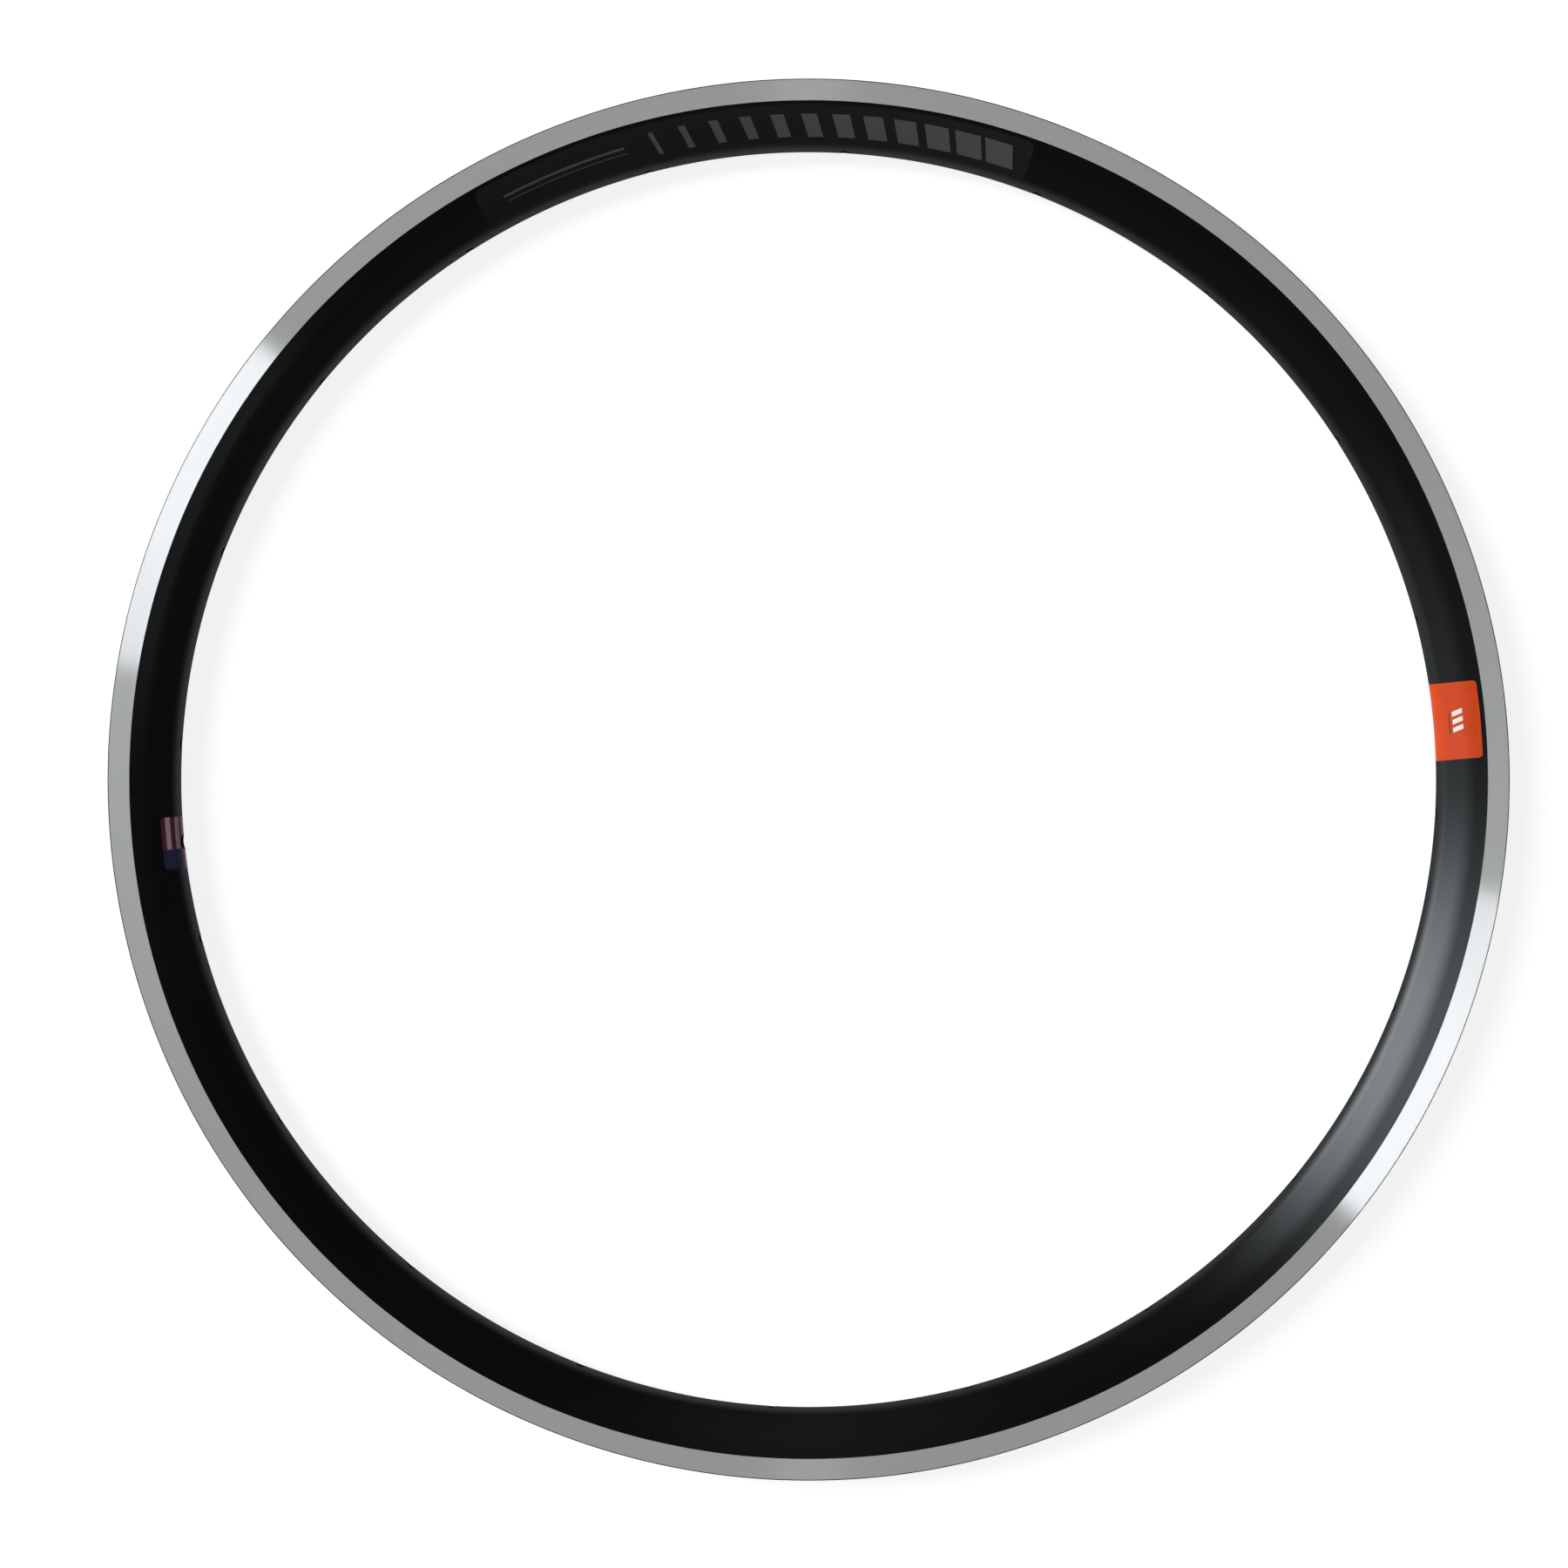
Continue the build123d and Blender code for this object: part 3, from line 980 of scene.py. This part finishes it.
class RIM_OT_hoop(bpy.types.Operator):
    """Builds the drilled hoop: tyre channel, brake tracks, body and every hole"""

    bl_idname = "bicycle_rim.hoop"
    bl_label = "Hoop"

    def execute(self, context):
        sizes, finishes = settings().sizes, settings().finishes
        section = Section(sizes)
        valve_radius = hole_radius(VALVE_MOUNT)
        holes = [(bearing(mount), hole_radius(mount), sizes.access_radius) for mount in SPOKE_MOUNTS]
        if not holes:
            raise RuntimeError("the packed part has no spoke holes")
        holes = sorted([*holes, (bearing(VALVE_MOUNT), valve_radius, valve_radius)])
        angles, columns = hoop_columns([hole for hole, inner, outer in holes])
        outside, hollow = mirrored(section.outside), mirrored(section.hollow)
        patches = {
            "nose": patch_about(outside, len(section.outside) - 1),
            "floor": patch_about(outside, 0),
            "bed": patch_about(hollow, len(section.hollow) - 1),
            "ceiling": patch_about(hollow, 0),
        }
        at_face = np.isclose(np.abs(outside[:, 1]), section.half_width, rtol=0, atol=1e-6)
        on_track = at_face & np.roll(at_face, -1)
        plain = np.zeros(len(hollow), int)
        skin = Skin()
        outside_patches = (patches["nose"], patches["floor"])
        outside_grid = revolve_section(skin, outside, angles, on_track.astype(int), outside_patches, columns)
        hollow_patches = (patches["bed"], patches["ceiling"])
        hollow_grid = revolve_section(skin, hollow, angles, plain, hollow_patches, columns)
        for (hole, inner, outer), patch_columns in zip(holes, columns):
            edges = {}
            for kind, edge_share in DRILLED_FACES.items():
                grid, rows = (outside_grid, outside) if kind in ("nose", "floor") else (hollow_grid, hollow)
                radius = inner if kind in ("nose", "bed") else outer
                loop = patch_loop(grid, rows, patches[kind], patch_columns)
                edge = sizes.hole_edge * edge_share
                edges[kind] = drilled_edge(skin, section, kind, loop, hole, radius, edge)
            skin.join_loops(edges["nose"], edges["bed"])
            skin.join_loops(edges["floor"], edges["ceiling"])
        piece = skin.to_object("hoop", [black_anodise(finishes), machined_track(finishes)])
        seat_piece(piece, "rim")
        return {"FINISHED"}


class RIM_OT_side_decal(bpy.types.Operator):
    """Lays the dark decal along the upper wall"""

    bl_idname = "bicycle_rim.side_decal"
    bl_label = "Side decal"

    def execute(self, context):
        films = settings().films
        film = Film(Section(settings().sizes))
        corner_steps, section_steps, hoop_steps = DECAL_STEPS
        start, end = film.place_of(films.decal_outer), film.place_of(films.decal_inner)
        corner = films.decal_corner
        middle = np.linspace(start + corner, end - corner, section_steps)[1:-1]
        places = film_places(start, end, corner, corner_steps, middle)
        rows = film.at(places)
        half_width = film_half_width(places, corner, films.decal_span / 2 * rows[:, 0])
        turn = (half_width / rows[:, 0])[:, None] * np.linspace(-1, 1, hoop_steps)
        middle_radius = (films.decal_outer + films.decal_inner) / 2
        skin = Skin()
        lay_film(skin, rows, films.decal_angle + turn, laid_flat(turn * middle_radius, places), films)
        piece = skin.to_object("dark_decal", [dark_decal_print(settings().finishes)])
        seat_piece(piece, "side_decal")
        return {"FINISHED"}


class RIM_OT_joint_label(bpy.types.Operator):
    """Lays the orange label over the joint and round the nose"""

    bl_idname = "bicycle_rim.joint_label"
    bl_label = "Joint label"

    def execute(self, context):
        films = settings().films
        film = Film(Section(settings().sizes))
        corner_steps, section_steps, hoop_steps = JOINT_STEPS
        start, end = film.place_of(films.joint_outer), film.place_at_height(-films.joint_wrap)
        corner = films.joint_corner
        middle = np.linspace(start + corner, end - corner, section_steps)[1:-1]
        places = film_places(start, end, corner, corner_steps, middle)
        rows = film.at(places)
        half_width = film_half_width(places, corner, films.joint_width / 2)
        across = half_width[:, None] * np.linspace(-1, 1, hoop_steps)
        angles = films.joint_angle + np.arcsin(across / rows[:, :1])
        skin = Skin()
        lay_film(skin, rows, angles, laid_flat(across, places), films)
        piece = skin.to_object("orange_label", [orange_label_print(settings().finishes)])
        seat_piece(piece, "joint_label")
        return {"FINISHED"}


class RIM_OT_valve_label(bpy.types.Operator):
    """Lays the striped label round the nose, with the valve hole punched through it"""

    bl_idname = "bicycle_rim.valve_label"
    bl_label = "Valve label"

    def execute(self, context):
        films, sizes = settings().films, settings().sizes
        section = Section(sizes)
        film = Film(section)
        corner_steps, section_steps, hoop_steps = VALVE_STEPS
        start, end = film.place_of(films.valve_outer), film.place_of(films.valve_outer, below=True)
        corner, patch = films.valve_corner, NOSE_PATCH
        high, low = film.place_at_height(patch), film.place_at_height(-patch)
        middle = [
            np.linspace(start + corner, high, section_steps)[1:-1],
            np.linspace(high, low, PATCH_STEPS + 1),
            np.linspace(low, end - corner, section_steps)[1:-1],
        ]
        places = film_places(start, end, corner, corner_steps, np.concatenate(middle))
        rows = film.at(places)
        half_width = films.valve_width / 2
        side = np.linspace(patch, half_width, hoop_steps)[1:]
        columns = np.concatenate([-side[::-1], np.linspace(-patch, patch, PATCH_STEPS + 1), side])
        across = film_half_width(places, corner, half_width)[:, None] * columns / half_width
        valve = bearing(VALVE_MOUNT)
        angles = valve + np.arcsin(across / rows[:, :1])
        first_row = int(np.argmin(np.abs(places - high)))
        window = [list(range(first, first + PATCH_STEPS + 1)) for first in (first_row, len(side))]
        skin = Skin()
        grids = lay_film(skin, rows, angles, laid_flat(across, places), films, window)
        punched = hole_radius(VALVE_MOUNT) + sizes.hole_edge + films.punch_gap
        edges = []
        for grid, (lift, way) in zip(grids, film_sides(films)):
            loop = patch_loop(grid, rows, *window)
            edges.append(punched_edge(skin, section, film, start, loop, valve, punched, lift, way))
        cut_edge(skin, *edges, inward=True)
        piece = skin.to_object("striped_label", [striped_label_print(settings().finishes)])
        seat_piece(piece, "valve_label")
        return {"FINISHED"}


# Stage


def floor_finish():
    """Pale floor: white to the eye and in reflections, with the rim's soft shadow on it."""
    pale, paler, shadow, glow = 0.78, 0.80, 0.26, 0.86
    n = Nodes(bpy.data.materials.new("pale_floor"))
    path = n.add("LightPath").outputs
    seen = n.most(path["Is Camera Ray"], path["Is Glossy Ray"], path["Is Transmission Ray"])
    paper = n.noise(n.object_place(), scale=3.0, detail=3.0)
    matt = n.node("BsdfDiffuse", {"Color": n.mix(paper, (pale,) * 3, (paler,) * 3)})
    shaded = n.node("BsdfDiffuse", {"Color": (shadow, shadow, shadow, 1)})
    return n.finish(n.blend(seen, matt, n.join(shaded, n.node("Emission", {"Strength": glow}))))


def lay_floor(stage, level):
    """A round floor about the wheel's axis."""
    rings = np.array([*FLOOR_RINGS, stage.floor_radius])
    turn = np.linspace(0, math.tau, FLOOR_SIDES, endpoint=False)
    skin = Skin()
    points = turned(rings[:, None], turn[None, :], level)
    grid = skin.add_points(points, np.broadcast_to((0, 0, 1.0), points.shape))
    for inner, outer in zip(grid[:-1], grid[1:]):
        skin.join_loops(inner, outer)
    middle = skin.add_points([(0, 0, level)], [(0, 0, 1)])
    first = grid[0]
    skin.add_quads(np.full(FLOOR_SIDES // 2, middle[0]), first[0::2], first[1::2], np.roll(first, -2)[0::2])
    return skin.to_object("floor", [floor_finish()])


def hang_ceiling_lamp(stage):
    """A narrow soft lamp overhead that faces the wheel's centre, from an azimuth and a tilt off the axis."""
    azimuth, tilt = math.radians(90), math.radians(24)
    distance, width, run = 8.0, 0.34, 1.6
    lamp = bpy.data.lights.new("ceiling_lamp", "AREA")
    lamp.shape = "RECTANGLE"
    lamp.size = width
    lamp.size_y = run
    lamp.energy = stage.ceiling_power
    holder = bpy.data.objects.new("ceiling_lamp", lamp)
    bpy.context.scene.collection.objects.link(holder)
    place = Vector(turned(math.sin(tilt), azimuth, math.cos(tilt))) * distance
    holder.location = place
    holder.rotation_euler = place.to_track_quat("Z", "Y").to_euler()


def room_walls(n, azimuth, rise):
    """A dim room that pales to white at the horizon, lighter on one side, with a drift of tint round it."""
    ends = ((0.03, 1.0), (1.0, 0.03))
    levels = ((0.16, 0.2), (0.45, 0.13), (0.8, 0.055))
    warm, cool = (1.02, 1.0, 0.98), (0.93, 0.98, 1.06)
    cool_side, light_side = math.radians(-123), math.radians(109)
    dim, light = 0.5, 1.6
    room = n.add("ValToRGB")
    n.link(rise, room.inputs[0])
    stops = room.color_ramp.elements
    for stop, (position, level) in zip(stops, ends):
        stop.position, stop.color = position, (level, level, level, 1)
    for position, level in levels:
        stops.new(position).color = (level, level, level, 1)
    swing = n.math("COSINE", n.product(n.math("SUBTRACT", azimuth, cool_side), 2.0))
    tint = n.mix(n.ramp(swing, -1.0, 1.0), warm, cool)
    tinted = n.mix(1.0, room.outputs[0], tint, blend_type="MULTIPLY")
    lean = n.math("COSINE", n.math("SUBTRACT", azimuth, light_side))
    return n.node("Background", {"Color": tinted, "Strength": n.ramp(lean, -1.0, 1.0, dim, light)})


def window_light(n, stage, azimuth, rise):
    """A tall window that fades to one side, with a glow under it and a curtain of light beside it."""
    spread = stage.window_spread
    edge_soft = math.radians(0.5)
    fade_start, fade_end = math.radians(2), 0.7
    pane_foot, pane_top = math.cos(math.radians(55)), math.cos(math.radians(29))
    sill_foot, sill_top = 0.09, math.cos(math.radians(57))
    curtain_edge, curtain_end = math.radians(60), math.radians(55)
    curtain_foot, curtain_top = 0.14, 0.96
    dim_start, dim_end, dim_level = 0.45, 0.85, 0.3
    across = n.band(azimuth, -spread, spread, edge_soft)
    pane = n.product(
        across,
        n.band(rise, pane_foot, pane_top, 0.01),
        n.ramp(azimuth, fade_start, spread, 1.0, fade_end),
        stage.window_glow,
    )
    sill = n.product(across, n.band(rise, sill_foot, sill_top, 0.04), stage.sill_glow)
    curtain = n.product(
        n.band(azimuth, spread, curtain_edge, edge_soft),
        n.ramp(azimuth, spread, curtain_end, 1.0, 0.0),
        n.band(rise, curtain_foot, curtain_top, 0.06),
        n.ramp(rise, dim_start, dim_end, 1.0, dim_level),
        stage.curtain_glow,
    )
    light = n.total(pane, curtain, sill)
    return n.node("Background", {"Color": (0.96, 0.99, 1.0, 1), "Strength": light})


def studio_world(stage):
    """The room and its window, by azimuth from the window's middle and by rise over the horizon."""
    n = Nodes(bpy.data.worlds.new("studio"), "OutputWorld")
    facing = n.add("VectorRotate", rotation_type="Z_AXIS")
    facing.inputs["Angle"].default_value = -stage.window_azimuth
    n.link(n.add("TexCoord").outputs["Generated"], facing.inputs["Vector"])
    forward, left, rise = n.parts(facing.outputs[0])
    azimuth = n.math("ARCTAN2", left, forward)
    return n.finish(n.join(room_walls(n, azimuth, rise), window_light(n, stage, azimuth, rise)))


def set_camera(stage):
    """A camera over the wheel's centre, looking straight down, that sees as far as its reach."""
    reach = 60
    camera = bpy.data.cameras.new("camera")
    camera.lens = stage.lens
    camera.shift_x = stage.shift_right
    camera.shift_y = stage.shift_up
    camera.clip_end = reach
    holder = bpy.data.objects.new("camera", camera)
    bpy.context.scene.collection.objects.link(holder)
    holder.location = (0, 0, stage.camera_height)
    return holder


class RIM_OT_stage(bpy.types.Operator):
    """Sets the floor, the lamp, the world and the camera"""

    bl_idname = "bicycle_rim.stage"
    bl_label = "Stage"

    def execute(self, context):
        stage = settings().stage
        context.scene.view_settings.view_transform = "Standard"
        floor = lay_floor(stage, cad_box[0][2])
        hang_ceiling_lamp(stage)
        context.scene.world = studio_world(stage)
        context.scene.camera = set_camera(stage)
        return {"FINISHED"}


class RimSettings(bpy.types.PropertyGroup):
    """All the settings of the rim."""

    sizes: PointerProperty(type=RimSizes)
    films: PointerProperty(type=FilmSizes)
    finishes: PointerProperty(type=Finishes)
    stage: PointerProperty(type=StageSizes)


OPERATORS = (RIM_OT_hoop, RIM_OT_side_decal, RIM_OT_joint_label, RIM_OT_valve_label, RIM_OT_stage)


class RIM_PT_panel(bpy.types.Panel):
    """Lists the pieces of the rim and their settings"""

    bl_idname = "RIM_PT_panel"
    bl_label = "Bicycle Rim"
    bl_space_type = "VIEW_3D"
    bl_region_type = "UI"
    bl_category = "Rim"

    def draw(self, context):
        for operator in OPERATORS:
            self.layout.operator(operator.bl_idname)
        rim = context.scene.bicycle_rim
        for group in (rim.sizes, rim.films, rim.finishes, rim.stage):
            box = self.layout.box()
            for name in group.bl_rna.properties.keys():
                if name not in ("rna_type", "name"):
                    box.prop(group, name)


CLASSES = (RimSizes, FilmSizes, Finishes, StageSizes, RimSettings, *OPERATORS, RIM_PT_panel)


def register():
    for cls in CLASSES:
        bpy.utils.register_class(cls)
    bpy.types.Scene.bicycle_rim = PointerProperty(type=RimSettings)


def unregister():
    del bpy.types.Scene.bicycle_rim
    for cls in reversed(CLASSES):
        bpy.utils.unregister_class(cls)


def main():
    """Builds every piece in order."""
    register()
    bpy.ops.bicycle_rim.hoop()
    bpy.ops.bicycle_rim.side_decal()
    bpy.ops.bicycle_rim.joint_label()
    bpy.ops.bicycle_rim.valve_label()
    bpy.ops.bicycle_rim.stage()


if __name__ == "__main__":
    main()
